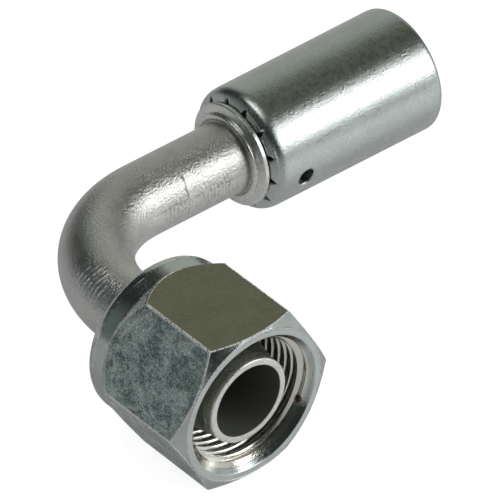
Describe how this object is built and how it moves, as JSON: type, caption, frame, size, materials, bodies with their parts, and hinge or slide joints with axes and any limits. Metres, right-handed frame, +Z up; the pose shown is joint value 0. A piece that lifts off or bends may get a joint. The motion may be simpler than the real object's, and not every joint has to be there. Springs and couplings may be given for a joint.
{
  "type": "hydraulic hose end fitting",
  "caption": "Right-angle hydraulic hose end: bent steel tube, captive hexagon swivel nut over a coned sealing head, barbed nipple and crimp ferrule.",
  "frame": {"origin": "centre of the sealing head's front face, on the swivel nut's axis", "axes": "-Y the way the mating connector leaves the nut, +X the way the hose leaves the ferrule, +Z up, square to the plane of the bend"},
  "size_m": [0.1175, 0.0797, 0.036],
  "materials": {
    "tube_steel": "satin plated, faint tool marks",
    "turned_steel": "turned and bright plated",
    "nut_zinc": "bright zinc plate with a fine mottle",
    "ferrule_zinc": "satin zinc plate",
    "braze": "plated-over filler metal"
  },
  "bodies": {
    "hose_end": {"elbow_tube": "tube_steel", "sealing_head": "turned_steel", "hose_nipple": "turned_steel", "crimp_ferrule": "ferrule_zinc", "head_braze_ring": "braze", "nipple_braze_ring": "braze"},
    "nut": {"swivel_nut": "nut_zinc"}
  },
  "joints": [
    {"name": "nut_spin", "type": "hinge", "parent": "hose_end", "child": "nut", "pos_m": [0, 0, 0], "axis": [0, 1, 0], "continuous": true}
  ]
}
